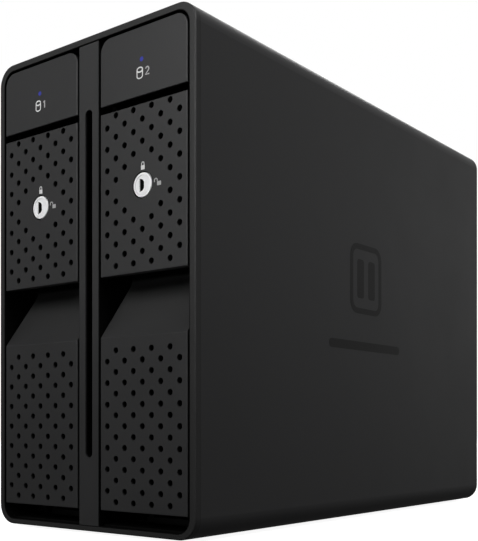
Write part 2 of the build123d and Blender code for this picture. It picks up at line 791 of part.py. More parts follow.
def tray_frame(bay_x):
    """Open channel that carries a drive on its long edge, with windows for the air."""
    front = (DOOR_BACK, tray_front)
    run = (tray_front, TRAY_REAR)
    with BuildPart() as frame:
        block((bay_x - TRAY_HALF, bay_x + TRAY_HALF), front, (tray_bottom, tray_top))
        with BuildSketch(upright(DOOR_BACK)):
            with Locations((bay_x, DOOR_MID)):
                with GridLocations(*TRAY_WINDOW_PITCH, 2, 5):
                    RectangleRounded(*TRAY_WINDOW)
        extrude(amount=-TRAY_WALL, mode=Mode.SUBTRACT)
        for side in (-1, 1):
            for height in boss_heights:
                rod(
                    bay_x + side * DOOR_BOSS_X,
                    BASE + height,
                    TRAY_SCREW_HOLE,
                    front,
                    Mode.SUBTRACT,
                )
        block((bay_x + web_outer, bay_x + web_inner), run, (tray_bottom, tray_top))
        with BuildSketch(side_on(bay_x + web_outer)):
            with Locations((drive_hole_y, DOOR_MID)):
                with GridLocations(*TRAY_VENT_PITCH, 5, 4):
                    SlotOverall(*TRAY_VENT)
        extrude(amount=TRAY_WALL, mode=Mode.SUBTRACT)
        with BuildSketch(side_on(bay_x + web_outer)):
            with Locations((drive_hole_y, DOOR_MID)):
                with GridLocations(DRIVE_HOLES_Y, DRIVE_HOLES_Z, 2, 2):
                    Circle(DRIVE_HOLE_RADIUS)
        extrude(amount=TRAY_WALL, mode=Mode.SUBTRACT)
        for edge, inward in ((tray_bottom, 1), (tray_top, -1)):
            shelf = DOOR_MID - inward * shelf_gap
            block(
                (bay_x + web_outer, bay_x + TRAY_HALF),
                run,
                sorted((edge, edge + inward * TRAY_WALL)),
            )
            block(
                (bay_x + web_inner, bay_x + TRAY_SHELF_HALF),
                (tray_front, TRAY_REAR - TRAY_SHELF_SETBACK),
                sorted((shelf, shelf - inward * TRAY_WALL)),
            )
            for rib_y in TRAY_RIBS_Y:
                block(
                    (bay_x + web_inner, bay_x + TRAY_SHELF_HALF),
                    (rib_y - TRAY_RIB_HALF, rib_y + TRAY_RIB_HALF),
                    sorted((edge + inward * TRAY_WALL, shelf - inward * TRAY_WALL)),
                )
    return frame


def tray_screws(bay_x):
    """Four screws that hold the door to the tray."""
    boss_places = [(bay_x + side * DOOR_BOSS_X, BASE + z) for side in (-1, 1) for z in boss_heights]
    with BuildPart() as screws:
        with Locations(facing_rear(boss_places, tray_front)):
            add(door_screw)
    return screws


cam_front = FRONT + LOCK_BARREL + PLUG_TAIL
cam_back = cam_front + CAM_THICKNESS


def lock_housing(bay_x):
    """Fixed sleeve of the cam lock."""
    with BuildPart() as housing:
        rod(bay_x, LOCK_Z, LOCK_RADIUS, (FRONT, FRONT + LOCK_BARREL))
        fillet(faces().sort_by(Axis.Y)[0].edges(), LOCK_EDGE)
        rod(
            bay_x,
            LOCK_Z,
            PLUG_RADIUS + PLUG_CLEARANCE,
            (FRONT, FRONT + LOCK_BARREL),
            Mode.SUBTRACT,
        )
    return housing


def lock_nut(bay_x):
    """Hexagon nut that clamps the lock in the door."""
    with BuildPart() as nut:
        with BuildSketch(upright(FRONT + LOCK_BOSS)):
            with Locations((bay_x, LOCK_Z)):
                RegularPolygon(LOCK_NUT_RADIUS, 6)
                Circle(LOCK_RADIUS + LOCK_FIT, mode=Mode.SUBTRACT)
        extrude(amount=-LOCK_NUT)
    return nut


def lock_plug(bay_x):
    """Turning barrel with its keyhole, a slot with one bevelled side."""
    with BuildPart() as plug:
        rod(bay_x, LOCK_Z, PLUG_RADIUS, (FRONT + PLUG_SETBACK, cam_front))
        fillet(faces().sort_by(Axis.Y)[0].edges(), PLUG_EDGE)
        with BuildSketch(upright(FRONT, bay_x)):
            Polygon(
                (KEYHOLE_WIDE[0], LOCK_Z - KEYHOLE_HALF[0]),
                (KEYHOLE_WIDE[1], LOCK_Z - KEYHOLE_HALF[1]),
                (KEYHOLE_WIDE[1], LOCK_Z + KEYHOLE_HALF[1]),
                (KEYHOLE_WIDE[0], LOCK_Z + KEYHOLE_HALF[0]),
                align=None,
            )
        extrude(amount=-KEYHOLE_DEEP, mode=Mode.SUBTRACT)
        rod(
            bay_x,
            LOCK_Z,
            PLUG_PILOT,
            (FRONT + LOCK_BARREL - PLUG_PILOT_DEEP, cam_front),
            Mode.SUBTRACT,
        )
    return plug


def lock_cam(bay_x):
    """Flat cam behind the lock, pointing up when it is locked."""
    with BuildPart() as cam:
        with BuildSketch(upright(cam_front)):
            with Locations((bay_x, LOCK_Z + CAM_LENGTH / 2 - CAM_WIDTH / 4)):
                SlotOverall(CAM_LENGTH + CAM_WIDTH / 2, CAM_WIDTH, rotation=90)
            with Locations((bay_x, LOCK_Z)):
                Circle(CAM_HOLE, mode=Mode.SUBTRACT)
        extrude(amount=-CAM_THICKNESS)
    return cam


def lock_cam_screw(bay_x):
    """Screw that holds the cam on the plug."""
    with BuildPart() as screw:
        with Locations(facing_rear([(bay_x, LOCK_Z)], cam_back)):
            add(cam_screw)
    return screw


tray_pieces = {
    "tray_door": tray_door,
    "tray_frame": tray_frame,
    "tray_screws": tray_screws,
    "lock_housing": lock_housing,
    "lock_nut": lock_nut,
    "lock_plug": lock_plug,
    "lock_cam": lock_cam,
    "lock_cam_screw": lock_cam_screw,
}
for name, bay_x in BAYS.items():
    for piece, make in tray_pieces.items():
        finish(make(bay_x), f"{piece}_{name}")

# ---------------------------------------------------------------- boards

sata_x = web_inner + SATA_X
sata_z = DOOR_MID - SATA_DROP
sata_front = TRAY_REAR + SATA_GAP

with BuildPart() as backplane_board:
    board_run = (BACKPLANE_Y, BACKPLANE_Y + BOARD)
    board_edge = BASE + BACKPLANE_HIGH
    block((-BACKPLANE_HALF, BACKPLANE_HALF), board_run, (BASE + BACKPLANE_LOW, board_edge))
    block((-BACKPLANE_NECK, BACKPLANE_NECK), board_run, (board_edge, BASE + MAIN_BOARD_LOW))
    with BuildSketch(upright(BACKPLANE_Y)):
        for bay_x in BAYS.values():
            with Locations((bay_x + BACKPLANE_WINDOW_X, DOOR_MID)):
                with GridLocations(0, BACKPLANE_WINDOW_PITCH, 1, 5):
                    RectangleRounded(*BACKPLANE_WINDOW)
    extrude(amount=-BOARD, mode=Mode.SUBTRACT)
finish(backplane_board, "backplane_board")

for name, bay_x in BAYS.items():
    with BuildPart() as sata_connector:
        at = bay_x + sata_x
        block(
            (at - SATA_HALF, at + SATA_HALF),
            (sata_front, BACKPLANE_Y),
            (sata_z - SATA_LENGTH / 2, sata_z + SATA_LENGTH / 2),
        )
        for low, high in SATA_SLOTS:
            block(
                (at - SATA_SLOT_HALF, at + SATA_SLOT_HALF),
                (sata_front, sata_front + SATA_SLOT_DEEP),
                (sata_z + low, sata_z + high),
                Mode.SUBTRACT,
            )
    finish(sata_connector, f"sata_connector_{name}")

with BuildPart() as board_link:
    block(
        (-LINK_HALF, LINK_HALF),
        (BACKPLANE_Y + BOARD, BACKPLANE_Y + BOARD + LINK[0]),
        (BASE + MAIN_BOARD_LOW - LINK[1], BASE + MAIN_BOARD_LOW),
    )
finish(board_link, "board_link")

rocker_bay = (ROCKER_X - ROCKER_FRAME_HALF[0] - 0.2, MAIN_BOARD_HALF)
standoff_places = [(x, y) for x in (-STANDOFF_X, STANDOFF_X) for y in STANDOFF_Y]

with BuildPart() as main_board:
    board_height = (BASE + MAIN_BOARD_LOW, BOARD_TOP)
    block(
        (-MAIN_BOARD_HALF, MAIN_BOARD_HALF),
        (MAIN_BOARD_FRONT, MAIN_BOARD_REAR),
        board_height,
    )
    block(rocker_bay, (ROCKER_NOTCH, MAIN_BOARD_REAR), board_height, Mode.SUBTRACT)
    block(
        (-CHIP_HALF, CHIP_HALF),
        (SINK_Y - CHIP_HALF, SINK_Y + CHIP_HALF),
        (BOARD_TOP, BOARD_TOP + CHIP),
    )
    for x, y in standoff_places:
        pillar(x, y, BOARD_CLEARANCE, board_height, Mode.SUBTRACT)
finish(main_board, "main_board")

with BuildPart() as board_standoffs:
    standoff_height = (BASE + CAGE_HIGH, BASE + MAIN_BOARD_LOW)
    for x, y in standoff_places:
        pillar(x, y, STANDOFF_RADIUS, standoff_height)
        pillar(x, y, BOARD_PILOT, standoff_height, Mode.SUBTRACT)
finish(board_standoffs, "board_standoffs")

with BuildPart() as board_screws:
    with Locations([(x, y, BOARD_TOP) for x, y in standoff_places]):
        add(board_screw)
    with Locations(facing_rear(led_screw_places, LED_BOARD_Y + BOARD)):
        add(board_screw)
finish(board_screws, "board_screws")

with BuildPart() as heat_sink:
    sink_low = BOARD_TOP + CHIP
    sink_y = (SINK_Y - SINK_HALF, SINK_Y + SINK_HALF)
    block((-SINK_HALF, SINK_HALF), sink_y, (sink_low, sink_low + SINK_PLATE))
    with Locations((0, SINK_Y, sink_low + SINK_PLATE + SINK_FIN[1] / 2)):
        with GridLocations(SINK_PITCH, 0, 6, 1):
            Box(SINK_FIN[0], 2 * SINK_HALF, SINK_FIN[1])
finish(heat_sink, "heat_sink")

# ---------------------------------------------------------------- inside cables

cable_start = LED_BOARD_Y + BOARD
cable_sag = BASE + CAGE_HIGH + LED_CABLE_SAG
cable_end = MAIN_BOARD_FRONT + CABLE_END
cable_z = BASE + LED_HEIGHT
plug_half = LED_CABLE_WIDTH / 2 + 1.0

with BuildPart() as led_cable:
    with BuildSketch(side_on(LED_CABLE_X)) as ribbon:
        with BuildLine():
            FilletPolyline(
                (cable_start + 3, cable_z),
                (cable_start + 12, cable_z),
                (cable_start + 26, cable_sag),
                (MAIN_BOARD_FRONT - 14, cable_sag),
                (MAIN_BOARD_FRONT - 4, BOARD_TOP + CABLE_RISE),
                (cable_end - 5, BOARD_TOP + CABLE_RISE),
                radius=LED_CABLE_BEND,
            )
        trace(line_width=LED_CABLE_THICKNESS)
    extrude(ribbon.sketch, amount=LED_CABLE_WIDTH / 2, both=True)
    plug_x = (LED_CABLE_X - plug_half, LED_CABLE_X + plug_half)
    block(
        plug_x,
        (cable_start, cable_start + CABLE_PLUG_LONG[0]),
        (cable_z - CABLE_PLUG_THICK / 2, cable_z + CABLE_PLUG_THICK / 2),
    )
    block(
        plug_x,
        (cable_end - CABLE_PLUG_LONG[1], cable_end),
        (BOARD_TOP, BOARD_TOP + CABLE_PLUG_THICK),
    )
finish(led_cable, "led_cable")

fan_cable_x = -FAN_SIZE / 2 - FAN_CABLE_OUT
fan_cable_y = REAR_PANEL_Y - FAN_CABLE_SETBACK
fan_cable_z = FAN_Z + FAN_CABLE_HEIGHT

with BuildPart() as fan_cable:
    with BuildLine() as fan_route:
        FilletPolyline(
            (-FAN_SIZE / 2, fan_cable_y, fan_cable_z),
            (fan_cable_x, fan_cable_y, fan_cable_z),
            (fan_cable_x, fan_cable_y, BOARD_TOP + FAN_CABLE_RISE),
            (FAN_PLUG_X[0], fan_cable_y, BOARD_TOP + FAN_CABLE_RISE),
            radius=FAN_CABLE_BEND,
        )
    with BuildSketch(side_on(-FAN_SIZE / 2)) as lead:
        with Locations((fan_cable_y, fan_cable_z)):
            Circle(FAN_CABLE_RADIUS)
    sweep(lead.sketch, path=fan_route.wire())
    block(
        FAN_PLUG_X,
        (fan_cable_y - FAN_PLUG_HALF, fan_cable_y + FAN_PLUG_HALF),
        (BOARD_TOP, BOARD_TOP + FAN_PLUG_TALL),
    )
finish(fan_cable, "fan_cable")

# ---------------------------------------------------------------- rear panel and ports

dc_z = BOARD_TOP + DC_RISE
usb_z = BOARD_TOP + USB_RISE
button_z = BOARD_TOP + BUTTON_RISE
dial_z = BOARD_TOP + DIAL_RISE
rocker_z = BASE + ROCKER_HEIGHT
fan_holes = [
    (x, FAN_Z + z)
    for x in (-FAN_HOLE_SPACING / 2, FAN_HOLE_SPACING / 2)
    for z in (-FAN_HOLE_SPACING / 2, FAN_HOLE_SPACING / 2)
]


def grille_places():
    """Hexagonal grid of hole centres inside the fan's circle."""
    row_pitch = GRILLE_PITCH * sin(radians(60))
    reach = int(GRILLE_RADIUS / row_pitch)
    grid = [
        (GRILLE_PITCH * (column + 0.5 * (row % 2)), row_pitch * row)
        for row in range(-reach, reach + 1)
        for column in range(-reach - 1, reach + 2)
    ]
    return [(x, FAN_Z + z) for x, z in grid if hypot(x, z) < GRILLE_RADIUS]


with BuildPart() as rear_panel:
    with BuildSketch(upright(REAR_PANEL_Y)):
        body_outline(SLEEVE_WALL + COLLAR_GAP + COLLAR_WALL + 0.2)
        with Locations(grille_places()):
            Circle(GRILLE_HOLE, mode=Mode.SUBTRACT)
        with Locations(fan_holes + panel_holes):
            Circle(REAR_SCREW_HOLE, mode=Mode.SUBTRACT)
        with Locations((DC_X, dc_z)):
            Circle(DC_HOLE, mode=Mode.SUBTRACT)
        with Locations((USB_X, usb_z)):
            RectangleRounded(*USB_HOLE, mode=Mode.SUBTRACT)
        with Locations((BUTTON_X, button_z)):
            Circle(BUTTON_HOLE, mode=Mode.SUBTRACT)
        with Locations((DIAL_X, dial_z)):
            Circle(DIAL_HOLE, mode=Mode.SUBTRACT)
        with Locations((ROCKER_X, rocker_z)):
            Rectangle(*ROCKER_HOLE, mode=Mode.SUBTRACT)
        with Locations((LOCK_SLOT_X, BASE + LOCK_SLOT_HEIGHT)):
            RectangleRounded(*LOCK_SLOT, mode=Mode.SUBTRACT)
    extrude(amount=-REAR_PANEL)
finish(rear_panel, "rear_panel")

with BuildPart() as rear_screws:
    with Locations(facing_rear(panel_holes + fan_holes, PANEL_OUTER_Y)):
        add(case_screw)
finish(rear_screws, "rear_screws")

with BuildPart() as usb_c_shell:
    with BuildSketch(upright(USB_FRONT)):
        with Locations((USB_X, usb_z)):
            RectangleRounded(*USB_SHELL)
    extrude(amount=-USB_LONG)
    with BuildSketch(upright(USB_FRONT + USB_BACK)):
        with Locations((USB_X, usb_z)):
            RectangleRounded(*USB_INSIDE)
    extrude(amount=-USB_LONG, mode=Mode.SUBTRACT)
finish(usb_c_shell, "usb_c_shell")

with BuildPart() as usb_c_tongue:
    block(
        (USB_X - USB_TONGUE_HALF[0], USB_X + USB_TONGUE_HALF[0]),
        (USB_FRONT + USB_BACK, USB_TONGUE_END),
        (usb_z - USB_TONGUE_HALF[1], usb_z + USB_TONGUE_HALF[1]),
    )
finish(usb_c_tongue, "usb_c_tongue")

with BuildPart() as dc_power_jack:
    dc_shoulder = REAR_PANEL_Y - 0.2
    dc_mouth = PANEL_OUTER_Y + DC_STEP
    block(
        (DC_X - DC_BODY_HALF, DC_X + DC_BODY_HALF),
        (DC_FRONT, dc_shoulder),
        (BOARD_TOP, BOARD_TOP + DC_BODY_TALL),
    )
    rod(DC_X, dc_z, DC_COLLAR, (dc_shoulder, dc_mouth))
    rod(DC_X, dc_z, DC_BORE, (DC_BORE_FRONT, dc_mouth), Mode.SUBTRACT)
finish(dc_power_jack, "dc_power_jack")

with BuildPart() as dc_center_pin:
    rod(DC_X, dc_z, DC_PIN, (DC_BORE_FRONT, PANEL_OUTER_Y - DC_STEP))
    fillet(faces().sort_by(Axis.Y)[-1].edges(), DC_PIN / 2)
finish(dc_center_pin, "dc_center_pin")

# ---------------------------------------------------------------- rear controls

with BuildPart() as tact_switch:
    block(
        (BUTTON_X - TACT_HALF, BUTTON_X + TACT_HALF),
        TACT_Y,
        (BOARD_TOP, BOARD_TOP + 2 * TACT_HALF),
    )
finish(tact_switch, "tact_switch")

with BuildPart() as set_button:
    rod(BUTTON_X, button_z, BUTTON_STEM, BUTTON_STEPS_Y[:2])
    rod(BUTTON_X, button_z, BUTTON_FLANGE, BUTTON_STEPS_Y[1:])
    rod(BUTTON_X, button_z, BUTTON_RADIUS, (BUTTON_STEPS_Y[2], PANEL_OUTER_Y + PROUD))
    fillet(faces().sort_by(Axis.Y)[-1].edges(), BUTTON_EDGE)
finish(set_button, "set_button")

with BuildPart() as raid_switch:
    block(
        (DIAL_X - DIAL_RISE, DIAL_X + DIAL_RISE),
        DIAL_BODY_Y,
        (BOARD_TOP, BOARD_TOP + 2 * DIAL_RISE),
    )
    rod(DIAL_X, dial_z, DIAL_SOCKET, DIAL_SOCKET_Y, Mode.SUBTRACT)
finish(raid_switch, "raid_switch")

with BuildPart() as raid_dial:
    dial_face = PANEL_OUTER_Y + PROUD
    rod(DIAL_X, dial_z, DIAL_STEM, DIAL_STEPS_Y)
    rod(DIAL_X, dial_z, DIAL_RADIUS, (DIAL_STEPS_Y[1], dial_face))
    fillet(faces().sort_by(Axis.Y)[-1].edges(), BUTTON_EDGE)
    block(
        (DIAL_X - DIAL_SLOT[0], DIAL_X + DIAL_SLOT[0]),
        (dial_face - DIAL_SLOT_DEEP, dial_face),
        (dial_z - DIAL_SLOT[1], dial_z + DIAL_SLOT[2]),
        Mode.SUBTRACT,
    )
finish(raid_dial, "raid_dial")

pivot_y = REAR_PANEL_Y - 1.0
rocker_opening = ROCKER_RADIUS + ROCKER_GAP
frame_outer_y = PANEL_OUTER_Y + ROCKER_FRAME
pin_gap = 0.2

with BuildPart() as rocker_housing:
    block(
        (ROCKER_X - ROCKER_BODY_HALF[0], ROCKER_X + ROCKER_BODY_HALF[0]),
        (ROCKER_FRONT, PANEL_OUTER_Y),
        (rocker_z - ROCKER_BODY_HALF[1], rocker_z + ROCKER_BODY_HALF[1]),
    )
    block(
        (ROCKER_X - ROCKER_FRAME_HALF[0], ROCKER_X + ROCKER_FRAME_HALF[0]),
        (PANEL_OUTER_Y, frame_outer_y),
        (rocker_z - ROCKER_FRAME_HALF[1], rocker_z + ROCKER_FRAME_HALF[1]),
    )
    fillet(faces().sort_by(Axis.Y)[-1].edges(), ROCKER_FRAME_EDGE)
    block(
        (ROCKER_X - rocker_opening, ROCKER_X + rocker_opening),
        (ROCKER_WELL, frame_outer_y),
        (rocker_z - ROCKER_HALF - ROCKER_GAP, rocker_z + ROCKER_HALF + ROCKER_GAP),
        Mode.SUBTRACT,
    )
    pin_reach = ROCKER_HALF + 4 * pin_gap
    pin_hole = (rocker_z - pin_reach - pin_gap, rocker_z + pin_reach + pin_gap)
    pillar(ROCKER_X, pivot_y, ROCKER_PIN_HOLE, pin_hole, Mode.SUBTRACT)
finish(rocker_housing, "rocker_housing")


def rocker_plane(height):
    """Sketch plane across the rocker's pivot, tipped to the switched-off side."""
    tilt = radians(ROCKER_TILT)
    return Plane(
        origin=(ROCKER_X, pivot_y, height),
        x_dir=(cos(tilt), sin(tilt), 0),
        z_dir=(0, 0, 1),
    )


with BuildPart() as power_rocker:
    wing_tip = ROCKER_WING + ROCKER_RADIUS * tan(radians(ROCKER_WING_ANGLE))
    with BuildSketch(rocker_plane(rocker_z)) as rocker_side:
        Circle(ROCKER_RADIUS)
        Polygon(
            (-ROCKER_RADIUS, -ROCKER_FOOT),
            (ROCKER_RADIUS, -ROCKER_FOOT),
            (ROCKER_RADIUS, wing_tip),
            (0, ROCKER_WING),
            (-ROCKER_RADIUS, wing_tip),
            align=None,
            mode=Mode.INTERSECT,
        )
    extrude(amount=ROCKER_HALF, both=True)
    with BuildSketch(rocker_plane(rocker_z)):
        Circle(ROCKER_PIN)
    extrude(amount=pin_reach, both=True)
finish(power_rocker, "power_rocker")

# ---------------------------------------------------------------- fan

fan_front = REAR_PANEL_Y - FAN_DEPTH
blade_tip = FAN_BORE - BLADE_GAP
motor_base = REAR_PANEL_Y - FAN_MOTOR_PLATE
tube_front = fan_front + 5

with BuildPart() as fan_frame:
    with BuildSketch(upright(REAR_PANEL_Y)):
        with Locations((0, FAN_Z)):
            RectangleRounded(FAN_SIZE, FAN_SIZE, FAN_CORNER)
            Circle(FAN_BORE, mode=Mode.SUBTRACT)
        with Locations(fan_holes):
            Circle(FAN_SCREW_HOLE, mode=Mode.SUBTRACT)
    extrude(amount=FAN_DEPTH)
    with BuildSketch(upright(REAR_PANEL_Y)):
        with Locations((0, FAN_Z)):
            Circle(FAN_HUB)
            with PolarLocations(0, 4, start_angle=20):
                Rectangle(FAN_BORE + 0.5, FAN_ARM, align=(Align.MIN, Align.CENTER))
    extrude(amount=FAN_MOTOR_PLATE)
    rod(0, FAN_Z, FAN_TUBE, (tube_front, motor_base))
    rod(0, FAN_Z, FAN_BEARING, (tube_front, REAR_PANEL_Y), Mode.SUBTRACT)
finish(fan_frame, "fan_frame")

with BuildPart() as fan_stator:
    rod(0, FAN_Z, FAN_COIL, (tube_front + 1, motor_base))
    rod(0, FAN_Z, FAN_TUBE, (tube_front + 1, motor_base), Mode.SUBTRACT)
finish(fan_stator, "fan_stator")

chord, axial = BLADE_HALF
cup_back = motor_base - 0.6

with BuildPart() as fan_rotor:
    for blade in range(FAN_BLADES):
        turn = radians(360 / FAN_BLADES * blade)
        radial = Vector(cos(turn), 0, sin(turn))
        tangent = Vector(-sin(turn), 0, cos(turn))
        root = Vector(0, fan_front + BLADE_MIDDLE, FAN_Z) + radial * (FAN_CUP - 0.4)
        with BuildSketch(Plane(origin=root, x_dir=tangent, z_dir=radial)):
            with BuildLine():
                upper = ThreePointArc(
                    (-chord, -axial),
                    (-BLADE_CAMBER, BLADE_CAMBER),
                    (chord, axial),
                )
                lower = ThreePointArc(
                    (-chord + BLADE_THICKNESS, -axial),
                    (-BLADE_CAMBER + BLADE_THICKNESS, BLADE_CAMBER),
                    (chord + BLADE_THICKNESS, axial),
                )
                Line(upper @ 0, lower @ 0)
                Line(upper @ 1, lower @ 1)
            make_face()
        extrude(amount=blade_tip - FAN_CUP + 3)
    rod(0, FAN_Z, blade_tip, (fan_front, REAR_PANEL_Y), Mode.INTERSECT)
    rod(0, FAN_Z, FAN_HUB, (fan_front + 1, cup_back))
    fillet(faces().sort_by(Axis.Y)[0].edges(), 1.0)
    rod(0, FAN_Z, FAN_CUP, (fan_front + 2.5, cup_back), Mode.SUBTRACT)
    rod(0, FAN_Z, FAN_SHAFT, (fan_front + 2, REAR_PANEL_Y - 1))
finish(fan_rotor, "fan_rotor")

# ---------------------------------------------------------------- feet

with BuildPart() as rubber_feet:
    for x in (-FOOT_X, FOOT_X):
        for y in (-FOOT_Y, FOOT_Y):
            pillar(x, y, FOOT_RADIUS, (0, FOOT_HEIGHT))
    fillet(edges().group_by(Axis.Z)[0], FOOT_EDGE)
finish(rubber_feet, "rubber_feet")
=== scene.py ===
import json
import math

import bpy
from mathutils import Matrix, Vector


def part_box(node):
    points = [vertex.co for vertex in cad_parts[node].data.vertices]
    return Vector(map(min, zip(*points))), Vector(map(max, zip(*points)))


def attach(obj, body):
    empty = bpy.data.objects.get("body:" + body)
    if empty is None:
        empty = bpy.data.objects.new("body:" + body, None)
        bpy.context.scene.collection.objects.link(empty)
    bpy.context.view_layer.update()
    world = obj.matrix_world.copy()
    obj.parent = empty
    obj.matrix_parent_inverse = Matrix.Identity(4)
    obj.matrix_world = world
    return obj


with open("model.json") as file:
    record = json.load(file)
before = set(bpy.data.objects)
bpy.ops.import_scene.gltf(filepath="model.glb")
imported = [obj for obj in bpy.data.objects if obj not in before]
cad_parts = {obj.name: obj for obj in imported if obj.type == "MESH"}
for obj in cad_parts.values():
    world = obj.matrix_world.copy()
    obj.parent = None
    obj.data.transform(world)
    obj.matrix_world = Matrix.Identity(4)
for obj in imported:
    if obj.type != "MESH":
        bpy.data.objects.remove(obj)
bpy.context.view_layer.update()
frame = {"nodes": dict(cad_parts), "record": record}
nodes = frame["nodes"]

# ---------------------------------------------------------------- places, in metres

MM = 0.001
SIDES = ("left", "right")
BODY_LOW, BODY_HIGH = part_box("housing_sleeve")
FRONT_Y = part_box("front_bezel")[0].y
REAR_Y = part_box("rear_panel")[1].y
BASE_Z = BODY_LOW.z
SIDE_X = BODY_HIGH.x

# Where the front's painted shade begins: depths behind the face, the fade inward from the column's
# long edges, and the rim's opening as half width, low, high and corner radius.
PAINTED_SHADE_DEPTHS = (FRONT_Y + 0.4 * MM, FRONT_Y + 1.0 * MM)
COLUMN_EDGE_SHADE = (0.28 * MM, 0.22 * MM)
RIM_OPENING = (44.65 * MM, BASE_Z + 1.75 * MM, BASE_Z + 163.2 * MM, 5.25 * MM)
COLLAR_INSET, COLLAR_RADIUS = 0.8 * MM, 6.2 * MM
# The scoop's ramp: low and high ends, their softness, and the depths over which painted light
# lifts the ramp against its shade.
SCOOP_RAMP_Z = (BASE_Z + 63.8 * MM, BASE_Z + 84.2 * MM)
SCOOP_RAMP_SOFT = 1 * MM
SCOOP_RAMP_LIGHT_DEPTHS = (FRONT_Y + 0.5 * MM, FRONT_Y + 12 * MM)


def middle(node):
    """Centre of a CAD node's box."""
    low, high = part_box(node)
    return (low + high) / 2


# ---------------------------------------------------------------- materials


def grey(tone):
    """Colour of one grey tone."""
    return (tone,) * 3


def feed(owner, socket, value):
    """Link value to the socket if it is a socket too, else set it as the socket's value."""
    if isinstance(value, bpy.types.NodeSocket):
        owner.node_tree.links.new(value, socket)
    else:
        socket.default_value = value


def add(owner, kind, settings=None, **inputs):
    """New node of a material or world; settings are attributes, inputs values or links."""
    node = owner.node_tree.nodes.new(kind)
    for name, value in (settings or {}).items():
        setattr(node, name, value)
    for name, value in inputs.items():
        feed(owner, node.inputs[name.replace("_", " ")], value)
    return node


def calculate(owner, operation, *values):
    """Result of a maths node; values are numbers or sockets."""
    node = add(owner, "ShaderNodeMath", {"operation": operation})
    for socket, value in zip(node.inputs, values):
        feed(owner, socket, value)
    return node.outputs[0]


def mix_colours(owner, factor, first, second):
    """Blend from first to second by factor; each is a colour or a socket."""
    mix = add(owner, "ShaderNodeMix", {"data_type": "RGBA"}, Factor=factor)
    ends = [socket for socket in mix.inputs if socket.type == "RGBA"]
    for socket, colour in zip(ends, (first, second)):
        is_link = isinstance(colour, bpy.types.NodeSocket)
        feed(owner, socket, colour if is_link else (*colour, 1))
    return next(socket for socket in mix.outputs if socket.type == "RGBA")


def principled(material, socket):
    """Input socket of the material's own shader."""
    return material.node_tree.nodes["Principled BSDF"].inputs[socket]


def new_material(name, colour, roughness, **sockets):
    """Principled material; sockets are further socket values, with _ for a space."""
    material = bpy.data.materials.new(name)
    material.use_nodes = True
    principled(material, "Base Color").default_value = (*colour, 1)
    principled(material, "Roughness").default_value = roughness
    for socket, value in sockets.items():
        principled(material, socket.replace("_", " ")).default_value = value
    return material


def place(material, stretch=(1, 1, 1)):
    """Position on the piece itself, in metres, stretched along the axes."""
    where = add(material, "ShaderNodeTexCoord").outputs["Object"]
    return add(material, "ShaderNodeMapping", Vector=where, Scale=stretch).outputs["Vector"]


def noise(material, size, detail=3.0, stretch=(1, 1, 1)):
    """Noise whose features are about size metres across."""
    return add(
        material,
        "ShaderNodeTexNoise",
        Vector=place(material, stretch),
        Scale=1 / size,
        Detail=detail,
    ).outputs["Fac"]


def vary_colour(material, source, dark, light):
    """Blend the base colour between dark and light by source."""
    mixed = mix_colours(material, source, dark, light)
    feed(material, principled(material, "Base Color"), mixed)


def vary_roughness(material, source, smooth, rough):
    """Map source, a noise around 0.5, to the roughness."""
    mapped = add(
        material,
        "ShaderNodeMapRange",
        Value=source,
        From_Min=0.3,
        From_Max=0.7,
        To_Min=smooth,
        To_Max=rough,
    )
    feed(material, principled(material, "Roughness"), mapped.outputs["Result"])


def bump(material, source, depth, strength=1.0):
    """Raise the surface by source times depth metres."""
    relief = add(
        material, "ShaderNodeBump", Height=source, Distance=depth, Strength=strength
    )
    feed(material, principled(material, "Normal"), relief.outputs["Normal"])


def textured(name, dark, light, roughness, grain, depth, **sockets):
    """Moulded or blasted surface: fine grain in relief, broad clouds in tone and gloss."""
    material = new_material(name, dark, roughness[0], **sockets)
    clouds = noise(material, 30 * MM, 2.0)
    vary_colour(material, clouds, dark, light)
    vary_roughness(material, clouds, *roughness)
    bump(material, noise(material, grain, 4.0), depth)
    return material


def brushed(name, dark, light, roughness, along):
    """Metal with fine lines along one axis, 0 for X to 2 for Z."""
    material = new_material(name, dark, roughness[0], Metallic=1.0)
    stretch = [1.0, 1.0, 1.0]
    stretch[along] = 0.02
    lines = noise(material, 0.4 * MM, 5.0, stretch)
    vary_colour(material, noise(material, 12 * MM), dark, light)
    vary_roughness(material, lines, *roughness)
    bump(material, lines, 0.01 * MM, 0.4)
    return material


def on_vectors(material, operation, *values):
    """Result of a vector maths node; values are triples or sockets."""
    node = add(material, "ShaderNodeVectorMath", {"operation": operation})
    for socket, value in zip(node.inputs, values):
        feed(material, socket, value)
    return node.outputs["Value" if operation == "LENGTH" else "Vector"]


def rising(material, source, low, high):
    """0 up to low, 1 from high on."""
    return add(
        material, "ShaderNodeMapRange", Value=source, From_Min=low, From_Max=high
    ).outputs["Result"]


def between(material, source, low, high, soft):
    """1 between low and high, 0 outside them, with soft edges."""
    after_low = rising(material, source, low - soft, low)
    before_high = calculate(
        material, "SUBTRACT", 1.0, rising(material, source, high, high + soft)
    )
    return calculate(material, "MULTIPLY", after_low, before_high)


def inside_outline(material, half_width, low, high, radius):
    """1 inside an upright rounded rectangle seen from the front, whatever the depth."""
    offset = on_vectors(material, "SUBTRACT", place(material), (0, 0, (low + high) / 2))
    reach = (half_width - radius, 1.0, (high - low) / 2 - radius)
    over = on_vectors(
        material, "SUBTRACT", on_vectors(material, "ABSOLUTE", offset), reach
    )
    corner = on_vectors(
        material, "LENGTH", on_vectors(material, "MAXIMUM", over, (0, 0, 0))
    )
    return calculate(material, "LESS_THAN", corner, radius)


def blend_colour(material, factor, colour):
    """Blend the base colour built so far towards colour by factor."""
    base = principled(material, "Base Color")
    feed(material, base, mix_colours(material, factor, base.links[0].from_socket, colour))


